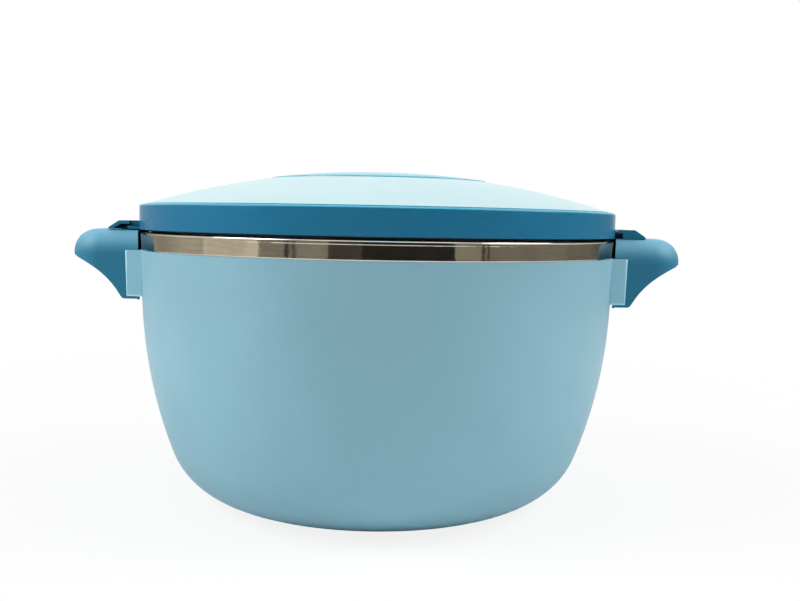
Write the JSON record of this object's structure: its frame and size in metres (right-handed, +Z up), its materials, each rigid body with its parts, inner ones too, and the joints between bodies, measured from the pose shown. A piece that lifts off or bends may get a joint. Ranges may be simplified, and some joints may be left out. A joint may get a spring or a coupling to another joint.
{
  "type": "insulated casserole",
  "caption": "Insulated bowl-shaped casserole with steel inner bowl, shell handles at both sides, and a domed lid that is hinged at one handle and latched at the other.",
  "frame": {"origin": "centre of the base, on the surface it stands on", "axes": "+Z up, +X from the latch towards the hinge, -Y the front"},
  "size_m": [0.384, 0.2984, 0.2052],
  "materials": {
    "shell_plastic": "smooth semi-gloss polypropylene",
    "bowl_steel": "polished band, brushed bowl",
    "foam": "rigid insulating foam",
    "handle_plastic": "smooth satin polypropylene",
    "screw_steel": "zinc-plated",
    "pin_steel": "drawn steel wire",
    "skirt_plastic": "smooth semi-gloss polypropylene",
    "cover_plastic": "glossy polypropylene",
    "cap_plastic": "glossy polypropylene",
    "gasket_silicone": "dark grey silicone"
  },
  "bodies": {
    "pot": {"outer_shell": "shell_plastic", "inner_pot": "bowl_steel", "pot_foam": "foam", "fill_plug": "shell_plastic", "handle_left": "handle_plastic", "handle_right": "handle_plastic", "handle_screws_left": "screw_steel", "handle_screws_right": "screw_steel", "hinge_bracket": "handle_plastic", "bracket_screws": "screw_steel", "hinge_pin": "pin_steel", "catch_plate": "handle_plastic", "catch_screws": "screw_steel"},
    "lid": {"lid_skirt": "skirt_plastic", "lid_cover": "cover_plastic", "lid_screws": "screw_steel", "centre_cap": "cap_plastic", "lid_fill_plug": "cover_plastic", "lid_liner": "bowl_steel", "lid_gasket": "gasket_silicone", "lid_foam": "foam", "latch_pin": "pin_steel"},
    "latch": {"latch_flap": "handle_plastic"}
  },
  "joints": [
    {"name": "lid_hinge", "type": "hinge", "parent": "pot", "child": "lid", "pos_m": [0.151, 0, 0.1694], "axis": [0, 1, 0], "range_deg": [0, 93]},
    {"name": "latch_pivot", "type": "hinge", "parent": "lid", "child": "latch", "pos_m": [-0.15, 0, 0.1706], "axis": [0, 1, 0], "range_deg": [0, 90]}
  ]
}
